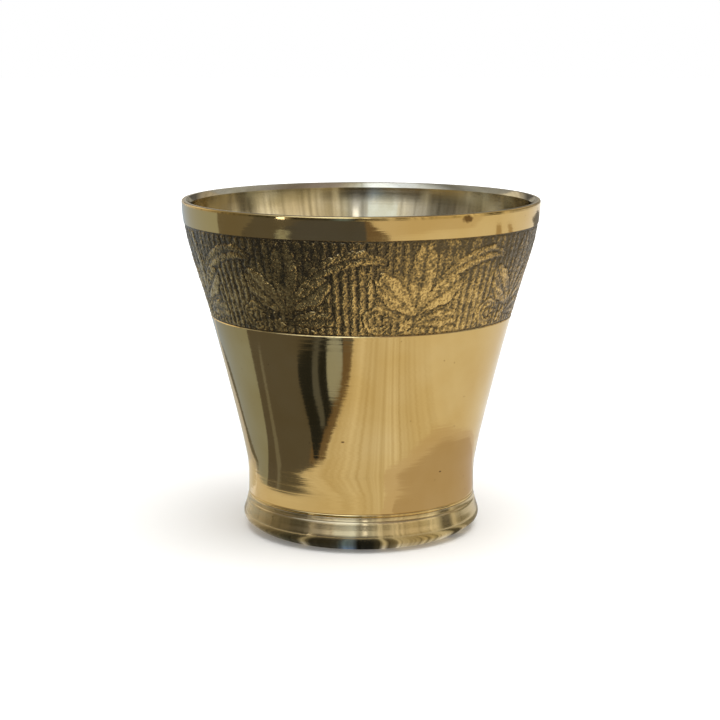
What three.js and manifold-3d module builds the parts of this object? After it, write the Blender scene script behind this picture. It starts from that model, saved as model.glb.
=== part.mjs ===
// A South Asian brass tumbler: a flared wall spun from thin brass, a turned foot ring, a floor disc,
// a darkened frieze strip let into the wall below the lip, the solder that holds them, and a tin lining.
// Millimetres, +Z up, the origin at the centre of the circle that the foot stands on.
import * as THREE from "three";
import { mergeVertices } from "three/addons/utils/BufferGeometryUtils.js";
import Module from "manifold-3d";

// Driving dimensions: the outside of the wall, from the foot joint up the nearly upright neck, round the
// bend and past the hip and chest to the lip. A slope is how far the radius grows for each millimetre of
// height. The joint flare is how much wider the wall is at the foot joint than at its neck.
const HEIGHT = 76;
const NECK_HEIGHT = 12.5;
const NECK_RADIUS = 26.08;
const NECK_SLOPE = 0.01;
const JOINT_FLARE = 0.07;
const JOINT_SLOPE = -0.03;
const BEND_HEIGHT = 17.5;
const BEND_RADIUS = 26.59;
const BEND_SLOPE = 0.205;
const HIP_HEIGHT = 24;
const HIP_RADIUS = 27.95;
const HIP_SLOPE = 0.235;
const CHEST_HEIGHT = 57;
const CHEST_RADIUS = 36.5;
const CHEST_SLOPE = 0.3;
const LIP_RADIUS = 40.65;
const LIP_SLOPE = 0;

// Driving dimensions: the thicknesses of the metal.
const WALL = 1.4;
const LINING = 0.3;
const DISC = 1.6;
const STRIP = 0.5;

// Driving dimensions: the lip. Its crest is a narrow flat land, barely rounded outside and bevelled inside.
const LIP_ROUND_HEIGHT = 0.4;
const LIP_CREST = 0.5;
const LIP_BEVEL_WIDTH = 0.65;
const LIP_BEVEL_HEIGHT = 1.2;

// Driving dimensions: the frieze strip, which lies a little below the polished wall.
const FRIEZE_BOTTOM = 49.9;
const FRIEZE_TOP = 70.8;
const STRIP_INSET = 0.1;
const STRIP_SEAM = 0.6;

// Driving dimensions: the foot ring, a bead that swells out from a flat land to stand on.
const FOOT_HEIGHT = 8;
const LAND_RADIUS = 23.3;
const LAND_WIDTH = 1.3;
const LAND_CHAMFER = 0.5;
const BEAD_UNDER_RADIUS = 25.2;
const BEAD_UNDER_HEIGHT = 0.9;
const BEAD_BELLY_RADIUS = 26.9;
const BEAD_BELLY_HEIGHT = 2.2;
const BEAD_RADIUS = 27.3;
const BEAD_HEIGHT = 3.6;
const BEAD_SHOULDER_RADIUS = 26.8;
const BEAD_SHOULDER_HEIGHT = 5.4;
const SPIGOT = 1.3;
const JOINT_CHAMFER = 0.2;

// Driving dimensions: the solder fillets, inside the floor's corner and under the floor.
const SEAM_FILLET = 2.5;
const BASE_FILLET = 1.2;

// How finely the curves are faceted. Every turned piece has the same facets, so that seats meet exactly.
const AROUND = 48;
const NECK_STEPS = 5;
const FLARE_STEPS = 5;
const FRIEZE_STEPS = 4;
const RIM_STEPS = 2;
const LIP_STEPS = 2;
const BEAD_STEPS = 10;
const FILLET_STEPS = 3;
// How far a cutting block reaches past what it cuts, and how close two corners are one corner.
const CUT_PAST = 1;
const WELD = 1e-3;

const wasm = await Module();
wasm.setup();

const polishedBrass = new THREE.MeshStandardMaterial({ color: 0xc9a561, roughness: 0.14, metalness: 1 });
const dullBrass = new THREE.MeshStandardMaterial({ color: 0x9e8554, roughness: 0.4, metalness: 1 });
const darkenedBrass = new THREE.MeshStandardMaterial({ color: 0x7a6540, roughness: 0.55, metalness: 1 });
const tin = new THREE.MeshStandardMaterial({ color: 0xc4c3b6, roughness: 0.28, metalness: 1 });
const solder = new THREE.MeshStandardMaterial({ color: 0x9c998c, roughness: 0.5, metalness: 1 });

const point = (radius, height) => new THREE.Vector2(radius, height);

// The wall's outside radius where it stands on the foot ring.
const jointRadius = NECK_RADIUS + JOINT_FLARE;

// The stations of the wall's outside, from the foot joint up to where the lip starts to round over.
const STATIONS = [
  { height: FOOT_HEIGHT, radius: jointRadius, slope: JOINT_SLOPE },
  { height: NECK_HEIGHT, radius: NECK_RADIUS, slope: NECK_SLOPE },
  { height: BEND_HEIGHT, radius: BEND_RADIUS, slope: BEND_SLOPE },
  { height: HIP_HEIGHT, radius: HIP_RADIUS, slope: HIP_SLOPE },
  { height: CHEST_HEIGHT, radius: CHEST_RADIUS, slope: CHEST_SLOPE },
  { height: HEIGHT - LIP_ROUND_HEIGHT, radius: LIP_RADIUS, slope: LIP_SLOPE },
];

// The outside radius of the wall at a height: a cubic through each pair of stations.
function outside(height) {
  const last = STATIONS.length - 2;
  const found = STATIONS.findIndex((station, i) => i <= last && height <= STATIONS[i + 1].height);
  const i = found < 0 ? last : found;
  const [low, high] = [STATIONS[i], STATIONS[i + 1]];
  const span = high.height - low.height;
  const t = THREE.MathUtils.clamp((height - low.height) / span, 0, 1);
  const ease = t * t * (3 - 2 * t);
  const leave = t * (1 - t) * (1 - t) * span * low.slope;
  const arrive = t * t * (t - 1) * span * high.slope;
  return low.radius + (high.radius - low.radius) * ease + leave + arrive;
}

// The inside radius of the brass, and the radius of the bottom of the strip's seat.
const inside = (height) => outside(height) - WALL;
const seatRadius = (height) => outside(height) - STRIP_INSET - STRIP;

// Heights from one to another in equal steps, ends included.
function heights(from, to, steps) {
  return Array.from({ length: steps + 1 }, (_, i) => from + ((to - from) * i) / steps);
}

// Points on an arc of an ellipse round a centre, from one angle to another, ends included.
function arc(centre, radiusAcross, radiusUp, from, to, steps) {
  return Array.from({ length: steps + 1 }, (_, i) => {
    const angle = from + ((to - from) * i) / steps;
    return point(centre.x + radiusAcross * Math.cos(angle), centre.y + radiusUp * Math.sin(angle));
  });
}

// A profile turned round the Z axis. It runs up the outside and down the inside.
function turned(profile) {
  return new THREE.LatheGeometry(profile, AROUND).rotateX(Math.PI / 2);
}

// A turned ring, whose profile closes on itself.
const ring = (profile) => turned([...profile, profile[0].clone()]);

// A closed geometry as a solid that can be cut.
function solidOf(geometry) {
  const bare = geometry.clone();
  bare.deleteAttribute("normal");
  bare.deleteAttribute("uv");
  const merged = mergeVertices(bare, WELD);
  const triVerts = new Uint32Array(merged.index.array);
  const vertProperties = merged.attributes.position.array;
  return new wasm.Manifold(new wasm.Mesh({ numProp: 3, vertProperties, triVerts }));
}

// A cut solid as a geometry again.
function geometryOf(solid) {
  const mesh = solid.getMesh();
  const geometry = new THREE.BufferGeometry();
  geometry.setAttribute("position", new THREE.BufferAttribute(new Float32Array(mesh.vertProperties), 3));
  geometry.setIndex(new THREE.BufferAttribute(new Uint32Array(mesh.triVerts), 1));
  geometry.computeVertexNormals();
  return geometry;
}

// The foot's bore, where the wall's inside meets the floor, the bore of the spigot, and where the lip's
// bevel starts and ends.
const footBore = LAND_RADIUS - LAND_WIDTH - LAND_CHAMFER;
const floorTop = FOOT_HEIGHT + DISC;
const spigotInside = inside(FOOT_HEIGHT) - SPIGOT;
const seamTop = floorTop + SEAM_FILLET;
const bevelBottom = HEIGHT - LIP_BEVEL_HEIGHT;
const crestInside = inside(bevelBottom) + LIP_BEVEL_WIDTH;
const crestOutside = crestInside + LIP_CREST;

// The heights at which every piece on the wall is faceted: the wall, the strip, the solder and the lining.
const neckHeights = heights(seamTop, HIP_HEIGHT, NECK_STEPS);
const flareHeights = heights(HIP_HEIGHT, FRIEZE_BOTTOM, FLARE_STEPS);
const friezeHeights = heights(FRIEZE_BOTTOM, FRIEZE_TOP, FRIEZE_STEPS);
const rimHeights = heights(FRIEZE_TOP, HEIGHT - LIP_ROUND_HEIGHT, RIM_STEPS);
const insideHeights = [
  ...neckHeights,
  ...flareHeights.slice(1),
  ...friezeHeights.slice(1),
  bevelBottom,
];

// The wall: one spun shell, open at both ends, with a turned seat for the strip.
function bodyWall() {
  const below = [...neckHeights, ...flareHeights.slice(1)].map((h) => point(outside(h), h));
  const seat = friezeHeights.map((h) => point(seatRadius(h), h));
  const rim = rimHeights.map((h) => point(outside(h), h));
  const roundCentre = point(crestOutside, HEIGHT - LIP_ROUND_HEIGHT);
  const roundWidth = LIP_RADIUS - crestOutside;
  const roundOver = arc(roundCentre, roundWidth, LIP_ROUND_HEIGHT, 0, Math.PI / 2, LIP_STEPS);
  const back = [...insideHeights].reverse().map((h) => point(inside(h), h));
  return ring([
    point(jointRadius - JOINT_CHAMFER, FOOT_HEIGHT),
    point(jointRadius, FOOT_HEIGHT + JOINT_CHAMFER),
    ...below,
    ...seat,
    ...rim,
    ...roundOver.slice(1),
    point(crestInside, HEIGHT),
    ...back,
    point(inside(floorTop), floorTop),
    point(inside(FOOT_HEIGHT), FOOT_HEIGHT),
  ]);
}

// The ring that fills the strip's seat, before it is parted at the back.
function stripRing() {
  const face = friezeHeights.map((h) => point(seatRadius(h) + STRIP, h));
  const back = [...friezeHeights].reverse().map((h) => point(seatRadius(h), h));
  return solidOf(ring([...face, ...back]));
}

// The block that parts the strip at the back, where its two ends meet.
function seamBlock() {
  const depth = LIP_RADIUS + CUT_PAST;
  const tall = FRIEZE_TOP - FRIEZE_BOTTOM + 2 * CUT_PAST;
  const block = new THREE.BoxGeometry(STRIP_SEAM, depth, tall);
  block.translate(0, depth / 2, (FRIEZE_TOP + FRIEZE_BOTTOM) / 2);
  return solidOf(block);
}

const friezeStrip = () => geometryOf(stripRing().subtract(seamBlock()));
const stripSeam = () => geometryOf(stripRing().intersect(seamBlock()));

// The foot ring: a bead outside, a flat land below, a ledge for the floor and a spigot inside the wall.
function footRing() {
  const bead = new THREE.SplineCurve([
    point(LAND_RADIUS, 0),
    point(BEAD_UNDER_RADIUS, BEAD_UNDER_HEIGHT),
    point(BEAD_BELLY_RADIUS, BEAD_BELLY_HEIGHT),
    point(BEAD_RADIUS, BEAD_HEIGHT),
    point(BEAD_SHOULDER_RADIUS, BEAD_SHOULDER_HEIGHT),
    point(jointRadius, FOOT_HEIGHT - JOINT_CHAMFER),
  ]);
  return ring([
    point(LAND_RADIUS - LAND_WIDTH, 0),
    ...bead.getPoints(BEAD_STEPS),
    point(jointRadius - JOINT_CHAMFER, FOOT_HEIGHT),
    point(inside(FOOT_HEIGHT), FOOT_HEIGHT),
    point(inside(floorTop), floorTop),
    point(spigotInside, floorTop),
    point(spigotInside, FOOT_HEIGHT),
    point(footBore, FOOT_HEIGHT),
    point(footBore, FOOT_HEIGHT - BASE_FILLET),
    point(footBore, LAND_CHAMFER),
  ]);
}

// The floor: a disc that drops inside the spigot and lies on the ring's ledge.
function floorDisc() {
  return turned([
    point(0, FOOT_HEIGHT),
    point(footBore - BASE_FILLET, FOOT_HEIGHT),
    point(footBore, FOOT_HEIGHT),
    point(spigotInside, FOOT_HEIGHT),
    point(spigotInside, floorTop),
    point(inside(seamTop) - SEAM_FILLET, floorTop),
    point(0, floorTop),
  ]);
}

// The hollow face of the solder in the floor's corner, from the floor up to the wall.
function seamFace(shrink) {
  const centre = point(inside(seamTop) - SEAM_FILLET, seamTop);
  const radius = SEAM_FILLET - shrink;
  return arc(centre, radius, radius, -Math.PI / 2, 0, FILLET_STEPS);
}

// The solder in the corner between the floor and the wall, under the lining.
function seamSolder() {
  return ring([
    point(spigotInside, floorTop),
    point(inside(floorTop), floorTop),
    ...seamFace(0).reverse(),
  ]);
}

// The solder under the floor, in the corner that it makes with the foot's bore.
function baseSolder() {
  const low = FOOT_HEIGHT - BASE_FILLET;
  const centre = point(footBore - BASE_FILLET, low);
  return ring([
    ...arc(centre, BASE_FILLET, BASE_FILLET, Math.PI / 2, 0, FILLET_STEPS),
    point(footBore, FOOT_HEIGHT),
  ]);
}

// The tin lining: it covers the floor, the seam solder, the wall and the lip's bevel.
function tinLining() {
  const bevelTop = point(crestInside, HEIGHT);
  const onBrass = insideHeights.slice(1).map((h) => point(inside(h), h));
  const face = insideHeights.slice(1).map((h) => point(inside(h) - LINING, h));
  return turned([
    point(0, floorTop),
    ...seamFace(0),
    ...onBrass,
    bevelTop,
    point(crestInside - LINING, HEIGHT),
    ...face.reverse(),
    ...seamFace(LINING).reverse(),
    point(0, floorTop + LINING),
  ]);
}

// Puts a piece in the tumbler under its own name.
function add(name, geometry, material) {
  const mesh = new THREE.Mesh(geometry, material);
  mesh.name = name;
  tumbler.add(mesh);
}

const tumbler = new THREE.Group();
add("body_wall", bodyWall(), polishedBrass);
add("frieze_strip", friezeStrip(), darkenedBrass);
add("strip_seam_solder", stripSeam(), solder);
add("foot_ring", footRing(), polishedBrass);
add("floor_disc", floorDisc(), dullBrass);
add("seam_solder", seamSolder(), solder);
add("base_solder", baseSolder(), solder);
add("tin_lining", tinLining(), tin);

export default tumbler;
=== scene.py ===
import itertools
import math

import bpy
import numpy as np
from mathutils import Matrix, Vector


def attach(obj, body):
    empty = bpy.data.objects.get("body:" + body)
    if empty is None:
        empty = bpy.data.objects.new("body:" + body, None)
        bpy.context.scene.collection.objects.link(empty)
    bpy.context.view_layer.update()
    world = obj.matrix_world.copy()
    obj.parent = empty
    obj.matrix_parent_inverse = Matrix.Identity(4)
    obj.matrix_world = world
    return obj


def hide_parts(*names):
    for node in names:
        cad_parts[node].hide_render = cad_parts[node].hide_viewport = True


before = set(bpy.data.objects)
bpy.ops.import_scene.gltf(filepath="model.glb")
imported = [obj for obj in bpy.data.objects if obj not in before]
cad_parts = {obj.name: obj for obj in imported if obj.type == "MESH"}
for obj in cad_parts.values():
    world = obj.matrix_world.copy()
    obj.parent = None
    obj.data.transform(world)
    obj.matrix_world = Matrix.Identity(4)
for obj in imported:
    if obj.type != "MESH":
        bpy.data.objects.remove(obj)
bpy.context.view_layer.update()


# The wall of the tumbler: one shell spun from brass sheet, open at both ends, then turned and polished
# on the lathe. It drops over the foot ring's spigot, where it is brazed, and has a turned seat for the
# frieze strip. Its lip has a narrow flat crest, barely rounded outside and bevelled inside.
MM = 0.001
HEIGHT = 76.0
FOOT_HEIGHT = 8.0
JOINT_RADIUS, JOINT_SLOPE = 26.15, -0.03
NECK_HEIGHT, NECK_RADIUS, NECK_SLOPE = 12.5, 26.08, 0.01
BEND_HEIGHT, BEND_RADIUS, BEND_SLOPE = 17.5, 26.59, 0.205
HIP_HEIGHT, HIP_RADIUS, HIP_SLOPE = 24.0, 27.95, 0.235
CHEST_HEIGHT, CHEST_RADIUS, CHEST_SLOPE = 57.0, 36.5, 0.3
LIP_ROUND_HEIGHT, LIP_RADIUS, LIP_SLOPE = 0.4, 40.65, 0.0
LIP_CREST, LIP_BEVEL_WIDTH, LIP_BEVEL_HEIGHT = 0.5, 0.65, 1.2
WALL, STRIP, STRIP_INSET = 1.4, 0.5, 0.1
FRIEZE_BOTTOM, FRIEZE_TOP = 49.9, 70.8
DISC = 1.6
JOINT_CHAMFER = 0.16
EDGE_BREAK = 0.18
GROOVE_WIDTH, GROOVE_DEPTH = 0.34, 0.12
WALL_GROOVE_HEIGHT = 8.6
ROW = 0.55
PLAIN_ROW = 4 * ROW
LIP_STEPS = 6
GROOVE_STEPS = 6
AROUND = 288
SHARP_EDGE = math.radians(28)

STATIONS = [
    (FOOT_HEIGHT, JOINT_RADIUS, JOINT_SLOPE),
    (NECK_HEIGHT, NECK_RADIUS, NECK_SLOPE),
    (BEND_HEIGHT, BEND_RADIUS, BEND_SLOPE),
    (HIP_HEIGHT, HIP_RADIUS, HIP_SLOPE),
    (CHEST_HEIGHT, CHEST_RADIUS, CHEST_SLOPE),
    (HEIGHT - LIP_ROUND_HEIGHT, LIP_RADIUS, LIP_SLOPE),
]


def outside(height):
    """The wall's outside radius at a height: a cubic between each pair of stations."""
    pairs = list(zip(STATIONS[:-1], STATIONS[1:]))
    low, high = next((pair for pair in pairs if height <= pair[1][0]), pairs[-1])
    span = high[0] - low[0]
    t = min(max((height - low[0]) / span, 0.0), 1.0)
    ease = t * t * (3 - 2 * t)
    leave = t * (1 - t) ** 2 * span * low[2]
    arrive = t * t * (t - 1) * span * high[2]
    return low[1] + (high[1] - low[1]) * ease + leave + arrive


def inside(height):
    """The radius of the brass wall's inside."""
    return outside(height) - WALL


def seat(height):
    """The radius of the bottom of the strip's seat."""
    return outside(height) - STRIP_INSET - STRIP


def up_the_wall(radius_at, low, high, row=ROW):
    """Points on a wall from one height to another, about one row apart."""
    steps = max(1, round((high - low) / row))
    return [(radius_at(h), h) for h in np.linspace(low, high, steps + 1)]


def arc(centre, across, up, start, end, steps):
    """Points on an elliptical arc, its angles in degrees."""
    return [
        (centre[0] + across * math.cos(a), centre[1] + up * math.sin(a))
        for a in np.radians(np.linspace(start, end, steps + 1))
    ]


def groove(radius, height):
    """A fine round-bottomed groove, cut with the point of a tool, from below to above."""
    half = GROOVE_WIDTH / 2
    return [
        (radius - GROOVE_DEPTH * math.sin(a) ** 2, height - half + GROOVE_WIDTH * a / math.pi)
        for a in np.linspace(0, math.pi, GROOVE_STEPS + 1)
    ]


def linear(text):
    """An sRGB hex colour as linear RGBA."""
    parts = [int(text[i:i + 2], 16) / 255 for i in (1, 3, 5)]
    return [p / 12.92 if p <= 0.04045 else ((p + 0.055) / 1.055) ** 2.4 for p in parts] + [1.0]


def feed(tree, node, feeds):
    """Fills a node's inputs, each with a value, a socket, or a node, which stands for its first output."""
    for name, value in feeds.items():
        if isinstance(value, bpy.types.Node):
            value = value.outputs[0]
        if isinstance(value, bpy.types.NodeSocket):
            tree.links.new(value, node.inputs[name])
        else:
            node.inputs[name].default_value = value


def add_node(tree, kind, feeds=None, stops=None, **settings):
    """Adds a node with its settings and feeds. Stops are a colour ramp's positions and hex colours."""
    made = tree.nodes.new(kind)
    for name, value in settings.items():
        setattr(made, name, value)
    if stops:
        band = made.color_ramp.elements
        while len(band) < len(stops):
            band.new(0.5)
        for element, (position, colour) in zip(band, stops):
            element.position = position
            element.color = linear(colour)
    feed(tree, made, feeds or {})
    return made


def new_object(name, data):
    """An object in the scene, round a mesh, a lamp or a camera."""
    made = bpy.data.objects.new(name, data)
    bpy.context.scene.collection.objects.link(made)
    return made


def new_geometry_tree(name, inputs, output):
    """A geometry nodes tree with named inputs and one output, and its inputs' identifiers."""
    tree = bpy.data.node_groups.new(name, "GeometryNodeTree")
    sockets = [
        tree.interface.new_socket(label, in_out="INPUT", socket_type=kind)
        for label, kind in inputs.items()
    ]
    tree.interface.new_socket(output, in_out="OUTPUT", socket_type="NodeSocketGeometry")
    return tree, {socket.name: socket.identifier for socket in sockets}


def make_lathe():
    """Geometry nodes that turn a chain of points in the plane Y = 0 round the Z axis."""
    tree, inputs = new_geometry_tree("lathe", {
        "Profile": "NodeSocketGeometry", "Around": "NodeSocketInt", "Metal": "NodeSocketMaterial"}, "Turned")
    given = add_node(tree, "NodeGroupInput")
    size = add_node(tree, "GeometryNodeAttributeDomainSize", {"Geometry": given.outputs["Profile"]})
    columns = add_node(tree, "ShaderNodeMath", {0: given.outputs["Around"], 1: 1.0})
    grid = add_node(tree, "GeometryNodeMeshGrid", {
        "Vertices X": columns, "Vertices Y": size.outputs["Point Count"]})
    index = add_node(tree, "GeometryNodeInputIndex")
    row = add_node(tree, "ShaderNodeMath", {
        0: index, 1: size.outputs["Point Count"]}, operation="FLOORED_MODULO")
    middle = add_node(tree, "ShaderNodeMath", {0: index, 1: 0.5})
    share = add_node(tree, "ShaderNodeMath", {
        0: middle, 1: size.outputs["Point Count"]}, operation="DIVIDE")
    column = add_node(tree, "ShaderNodeMath", {0: share}, operation="FLOOR")
    part = add_node(tree, "ShaderNodeMath", {0: column, 1: given.outputs["Around"]}, operation="DIVIDE")
    angle = add_node(tree, "ShaderNodeMath", {0: part, 1: math.tau}, operation="MULTIPLY")
    position = add_node(tree, "GeometryNodeInputPosition")
    sample = add_node(tree, "GeometryNodeSampleIndex", {
        "Geometry": given.outputs["Profile"], "Value": position, "Index": row,
    }, data_type="FLOAT_VECTOR", domain="POINT")
    spin = add_node(tree, "ShaderNodeVectorRotate", {
        "Vector": sample, "Angle": angle}, rotation_type="Z_AXIS")
    place = add_node(tree, "GeometryNodeSetPosition", {
        "Geometry": grid.outputs["Mesh"], "Position": spin})
    weld = add_node(tree, "GeometryNodeMergeByDistance", {"Geometry": place, "Distance": 1e-6})
    smooth = add_node(tree, "GeometryNodeSetShadeSmooth", {"Geometry": weld})
    whole = add_node(tree, "GeometryNodeRealizeInstances", {"Geometry": smooth})
    finish = add_node(tree, "GeometryNodeSetMaterial", {
        "Geometry": whole, "Material": given.outputs["Metal"]})
    add_node(tree, "NodeGroupOutput", {"Turned": finish})
    return tree, inputs


LATHE = make_lathe()


def plain_mesh(holder, recipe, values):
    """Runs a geometry nodes tree on a holder, with values for its inputs, and keeps the plain result."""
    tree, inputs = recipe
    modifier = holder.modifiers.new(tree.name, "NODES")
    modifier.node_group = tree
    for label, value in values.items():
        modifier[inputs[label]] = value
    bpy.context.view_layer.update()
    ready = holder.evaluated_get(bpy.context.evaluated_depsgraph_get())
    mesh = bpy.data.meshes.new_from_object(ready)
    holder.modifiers.remove(modifier)
    holder.data = mesh
    mesh.set_sharp_from_angle(angle=SHARP_EDGE)
    return holder


def turn(name, profile, metal):
    """Turns a profile, which runs up the outside and down the inside, into a closed piece."""
    points = [(radius * MM, 0.0, height * MM) for radius, height in profile]
    chain = bpy.data.meshes.new(name)
    chain.from_pydata(points, [(i, i + 1) for i in range(len(points) - 1)], [])
    return plain_mesh(new_object(name, chain), LATHE, {"Around": AROUND, "Metal": metal})


def dress(piece, node, body="root"):
    """Rides a piece on its body, in place of a CAD node."""
    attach(piece, body)
    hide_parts(node)


def new_metal(name, colour, roughness):
    """A metal's material, with its node tree and shader. A metal keeps the default IOR."""
    material = bpy.data.materials.new(name)
    material.use_nodes = True
    tree = material.node_tree
    shader = tree.nodes["Principled BSDF"]
    feed(tree, shader, {"Metallic": 1.0, "Base Color": linear(colour), "Roughness": roughness})
    return material, tree, shader


def draw_out(tree, shader, share):
    """Draws a metal's shine out by a share, across the turning lines that run level round it."""
    tangent = add_node(tree, "ShaderNodeTangent", direction_type="RADIAL", axis="Z")
    feed(tree, shader, {"Tangent": tangent, "Anisotropic": share, "Anisotropic Rotation": QUARTER_TURN})


def turning_lines(tree, spacing, wander):
    """Noise drawn out into level lines, a spacing in millimetres apart, that wander a little."""
    place = add_node(tree, "ShaderNodeTexCoord")
    stretch = add_node(tree, "ShaderNodeMapping", {
        "Vector": place.outputs["Object"], "Scale": (wander, wander, 1 / (spacing * MM))})
    return add_node(tree, "ShaderNodeTexNoise", {
        "Vector": stretch, "Scale": 1.0, "Detail": 3.0, "Roughness": 0.6})


def patches(tree, size, detail=3.0):
    """Soft cloudy noise with patches of a size in millimetres."""
    place = add_node(tree, "ShaderNodeTexCoord")
    return add_node(tree, "ShaderNodeTexNoise", {
        "Vector": place.outputs["Object"], "Scale": 1 / (size * MM), "Detail": detail})


# Polished brass, turned on the lathe and buffed: a warm yellow mirror that is drawn out by its fine
# turning lines. The lines are drawn about as far apart as the render can show, and coarser ones between
# them make the edges of reflections ragged. A little brown tarnish clouds it, a few small pits are left
# from the sheet, and it has one brown stain under the lip and two deeper pits low on the wall.
TURNING_SPACING, TURNING_DEPTH = 0.32, 0.004
COARSE_SPACING, COARSE_DEPTH = 0.8, 0.018
TURNING_WANDER = 12.0
QUARTER_TURN = 0.25
TARNISH_SIZE = 16.0
PIT_SPACING, PIT_SHARE, PIT_COLOUR = 3.2, 0.55, "#6B5430"
STAIN_FLATNESS = 1.7
STAIN_CORE, STAIN_EDGE, STAIN_SHARE, STAIN_COLOUR = 1.1, 1.7, 0.85, "#5A3C1A"
STAINS = [((22.4, -33.9, 74.9), 1.35), ((-4.0, -28.1, 25.6), 0.4), ((17.6, -19.9, 17.0), 0.35)]


def stain(tree, spot, size):
    """How much a ragged stain round a spot covers the brass. Spot and size are in millimetres."""
    place = add_node(tree, "ShaderNodeTexCoord")
    from_spot = add_node(tree, "ShaderNodeVectorMath", {
        0: place.outputs["Object"], 1: Vector(spot) * MM}, operation="SUBTRACT")
    flattened = add_node(tree, "ShaderNodeVectorMath", {
        0: from_spot, 1: (1.0, 1.0, STAIN_FLATNESS)}, operation="MULTIPLY")
    reach = add_node(tree, "ShaderNodeVectorMath", {0: flattened}, operation="LENGTH")
    ragged = patches(tree, size / 2)
    edge = add_node(tree, "ShaderNodeMath", {
        0: ragged, 1: size * MM, 2: reach.outputs["Value"]}, operation="MULTIPLY_ADD")
    return add_node(tree, "ShaderNodeMapRange", {
        "Value": edge, "From Min": STAIN_CORE * size * MM, "From Max": STAIN_EDGE * size * MM,
        "To Min": STAIN_SHARE, "To Max": 0.0})


def polished_brass(name, tones, gloss, drawn_out):
    """Brass in three tones, between two values of roughness, its shine drawn out upwards by a share."""
    material, tree, shader = new_metal(name, tones[1], gloss[0])
    tarnish = patches(tree, TARNISH_SIZE)
    colour = add_node(tree, "ShaderNodeValToRGB", {"Fac": tarnish},
                      stops=list(zip((0.35, 0.6, 0.8), tones)))
    place = add_node(tree, "ShaderNodeTexCoord")
    pits = add_node(tree, "ShaderNodeTexVoronoi", {
        "Vector": place.outputs["Object"], "Scale": 1 / (PIT_SPACING * MM)})
    pit = add_node(tree, "ShaderNodeValToRGB", {"Fac": pits.outputs["Distance"]},
                   stops=[(0.03, PIT_COLOUR), (0.06, "#FFFFFF")])
    stained = add_node(tree, "ShaderNodeMix", {
        0: PIT_SHARE, 6: colour, 7: pit}, data_type="RGBA", blend_type="MULTIPLY")
    for spot, size in STAINS:
        cover = stain(tree, spot, size)
        stained = add_node(tree, "ShaderNodeMix", {
            0: cover, 6: stained.outputs[2], 7: linear(STAIN_COLOUR)}, data_type="RGBA")
    lines = turning_lines(tree, TURNING_SPACING, TURNING_WANDER)
    worn = add_node(tree, "ShaderNodeMapRange", {
        "Value": lines, "From Min": 0.3, "From Max": 0.7, "To Min": gloss[0], "To Max": gloss[1]})
    fine = add_node(tree, "ShaderNodeBump", {
        "Strength": 0.35, "Distance": TURNING_DEPTH * MM, "Height": lines})
    coarse_lines = turning_lines(tree, COARSE_SPACING, TURNING_WANDER)
    coarse = add_node(tree, "ShaderNodeBump", {
        "Strength": 1.0, "Distance": COARSE_DEPTH * MM, "Height": coarse_lines,
        "Normal": fine})
    feed(tree, shader, {"Base Color": stained.outputs[2], "Roughness": worn, "Normal": coarse})
    draw_out(tree, shader, drawn_out)
    return material


POLISHED_BRASS = polished_brass("polished turned brass", ("#C9A969", "#CFB276", "#D3B982"), (0.06, 0.11), 0.6)

crest_inside = inside(HEIGHT - LIP_BEVEL_HEIGHT) + LIP_BEVEL_WIDTH
crest_outside = crest_inside + LIP_CREST
floor_top = FOOT_HEIGHT + DISC
above_groove = WALL_GROOVE_HEIGHT + GROOVE_WIDTH / 2
lip_start = HEIGHT - LIP_ROUND_HEIGHT
wall_profile = [
    (inside(FOOT_HEIGHT), FOOT_HEIGHT),
    (JOINT_RADIUS - JOINT_CHAMFER, FOOT_HEIGHT),
    (JOINT_RADIUS, FOOT_HEIGHT + JOINT_CHAMFER),
    *groove(outside(WALL_GROOVE_HEIGHT), WALL_GROOVE_HEIGHT),
    *up_the_wall(outside, above_groove, FRIEZE_BOTTOM - EDGE_BREAK)[1:],
    (outside(FRIEZE_BOTTOM) - EDGE_BREAK, FRIEZE_BOTTOM),
    *up_the_wall(seat, FRIEZE_BOTTOM, FRIEZE_TOP, PLAIN_ROW),
    (outside(FRIEZE_TOP) - EDGE_BREAK, FRIEZE_TOP),
    *up_the_wall(outside, FRIEZE_TOP + EDGE_BREAK, lip_start),
    *arc((crest_outside, lip_start), LIP_RADIUS - crest_outside, LIP_ROUND_HEIGHT, 0, 90, LIP_STEPS)[1:],
    (crest_inside, HEIGHT),
    *up_the_wall(inside, floor_top, HEIGHT - LIP_BEVEL_HEIGHT, PLAIN_ROW)[::-1],
    (inside(FOOT_HEIGHT), FOOT_HEIGHT),
]
wall = turn("wall", wall_profile, POLISHED_BRASS)
dress(wall, "body_wall")


# The frieze strip: a band of brass cast with a running leaf spray on a reeded ground, darkened, rubbed
# bright on its high parts, and let into its seat in the wall. One bay of the ornament is made as a sheet
# with relief, and eight bays close the ring.
BAYS = 8
BAY_COLUMNS = 112
BAY_ROWS = 100
REEDS_PER_BAY = 16
REED_FADE, FADE_START, FADE_END = 0.3, 12.0, 17.0
REED_GAP = 0.35
BORDER, BORDER_SLOPE = 0.12, 0.5
GROUND_DEPTH = 0.25
LEAF_RISE = 0.27
REED_RISE = 0.23
STRIP_HEIGHT = FRIEZE_TOP - FRIEZE_BOTTOM
MIDDLE_HEIGHT = (FRIEZE_BOTTOM + FRIEZE_TOP) / 2
BAY_WIDTH = math.tau * outside(MIDDLE_HEIGHT) / BAYS
SPRAY = 18.6 / 360 * BAYS * BAY_WIDTH

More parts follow.
